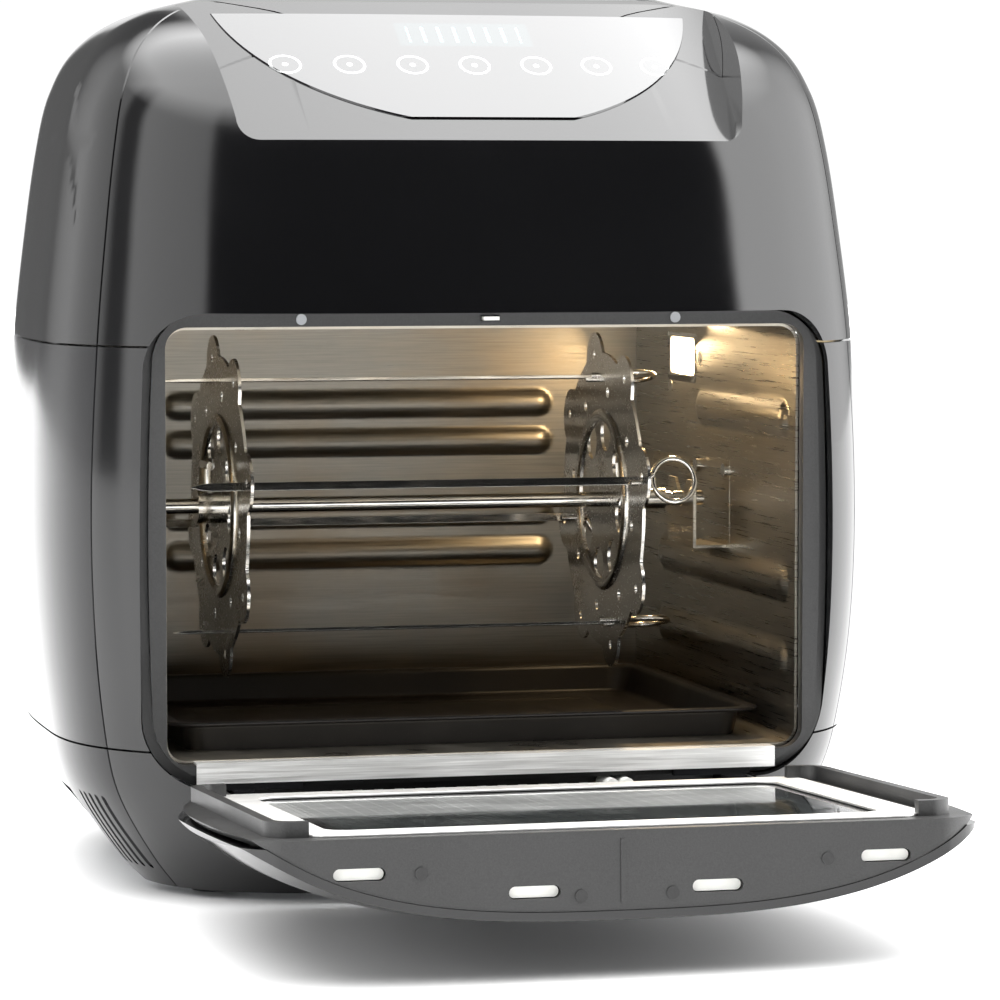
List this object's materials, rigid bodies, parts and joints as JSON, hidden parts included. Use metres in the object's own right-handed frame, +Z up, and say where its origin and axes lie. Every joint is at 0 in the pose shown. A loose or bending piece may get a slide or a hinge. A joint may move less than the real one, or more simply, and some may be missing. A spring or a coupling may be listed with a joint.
{
  "type": "rotisserie oven",
  "caption": "Countertop rotisserie oven with a rounded gloss casing, drop-down glass door, steel cooking space, driven spit with notched discs and skewers, drip tray, lamp and fan.",
  "frame": {"origin": "on the table, under the middle of the whole footprint with the door open", "axes": "+Z up, the door faces -Y, +X to the right as seen from the front"},
  "size_m": [0.323, 0.4885, 0.341],
  "materials": {
    "gloss_black": "high gloss moulded",
    "gloss_side": "high gloss moulded",
    "matt_black": "fine spark texture",
    "rubber": "matt",
    "panel_glass": "black printed touch glass",
    "stainless": "brushed",
    "bright_steel": "polished",
    "sheet_steel": "plain zinc coated",
    "heater_steel": "heat darkened",
    "non_stick": "satin non-stick",
    "fan_aluminium": "pressed",
    "motor_steel": "satin",
    "lamp_glass": "clear heat proof",
    "door_glass": "tinted tempered",
    "board": "lacquered",
    "white_nylon": "smooth"
  },
  "bodies": {
    "casing": {"hood_front": "gloss_black", "hood_cover": "gloss_black", "left_column": "gloss_black", "right_column": "gloss_black", "left_side_panel": "gloss_side", "right_side_panel": "gloss_side", "back_panel": "gloss_side", "base_front": "gloss_black", "base_rear": "gloss_side", "bottom_plate": "sheet_steel", "front_feet": "rubber", "rear_feet": "rubber", "rear_spacers": "rubber", "display_glass": "panel_glass", "opening_frame": "matt_black", "frame_screws": "bright_steel", "sill_plate": "stainless", "hinge_trough": "matt_black", "left_hinge_block": "matt_black", "right_hinge_block": "matt_black", "cavity_liner": "stainless", "element_guard": "stainless", "heating_element": "heater_steel", "air_shield": "sheet_steel", "fan_motor": "motor_steel", "motor_bracket": "sheet_steel", "lamp_window": "lamp_glass", "lamp_holder": "sheet_steel", "lamp_bulb": "lamp_glass", "lamp_screws": "bright_steel", "spit_motor": "motor_steel", "spit_bracket": "stainless", "bracket_screws": "bright_steel", "drip_tray": "non_stick", "door_bumpers": "white_nylon", "door_switch": "matt_black", "control_board": "board", "power_board": "board", "exhaust_grille": "matt_black", "cord_gland": "rubber", "casing_screws": "bright_steel"},
    "door": {"door_outer_shell": "gloss_black", "door_outer_glass": "door_glass", "door_inner_cover": "matt_black", "door_trim_frame": "stainless", "door_inner_glass": "door_glass", "door_hinge_arms": "sheet_steel", "door_hinge_pins": "bright_steel", "door_screws": "bright_steel"},
    "spit": {"spit_rod": "bright_steel", "left_spit_disc": "bright_steel", "right_spit_disc": "bright_steel", "skewers": "bright_steel", "spit_collars": "bright_steel", "drive_socket": "bright_steel"},
    "fan": {"convection_fan": "fan_aluminium", "fan_shaft": "bright_steel", "cooling_fan": "matt_black"},
    "plunger": {"switch_plunger": "white_nylon"}
  },
  "joints": [
    {"name": "door_hinge", "type": "hinge", "parent": "casing", "child": "door", "pos_m": [0, -0.062, 0.038], "axis": [-1, 0, 0], "range_deg": [0, 87.7]},
    {"name": "spit_turn", "type": "hinge", "parent": "casing", "child": "spit", "pos_m": [0, 0.058, 0.142], "axis": [1, 0, 0], "continuous": true},
    {"name": "fan_turn", "type": "hinge", "parent": "casing", "child": "fan", "pos_m": [0, 0.062, 0.25], "axis": [0, 0, 1], "continuous": true},
    {"name": "plunger_slide", "type": "slide", "parent": "casing", "child": "plunger", "axis": [0, 1, 0], "range_m": [0, 0.003]}
  ],
  "couplings": [
    {"joint": "plunger_slide", "follows": "door_hinge", "m_per_rad": 0.0019}
  ]
}
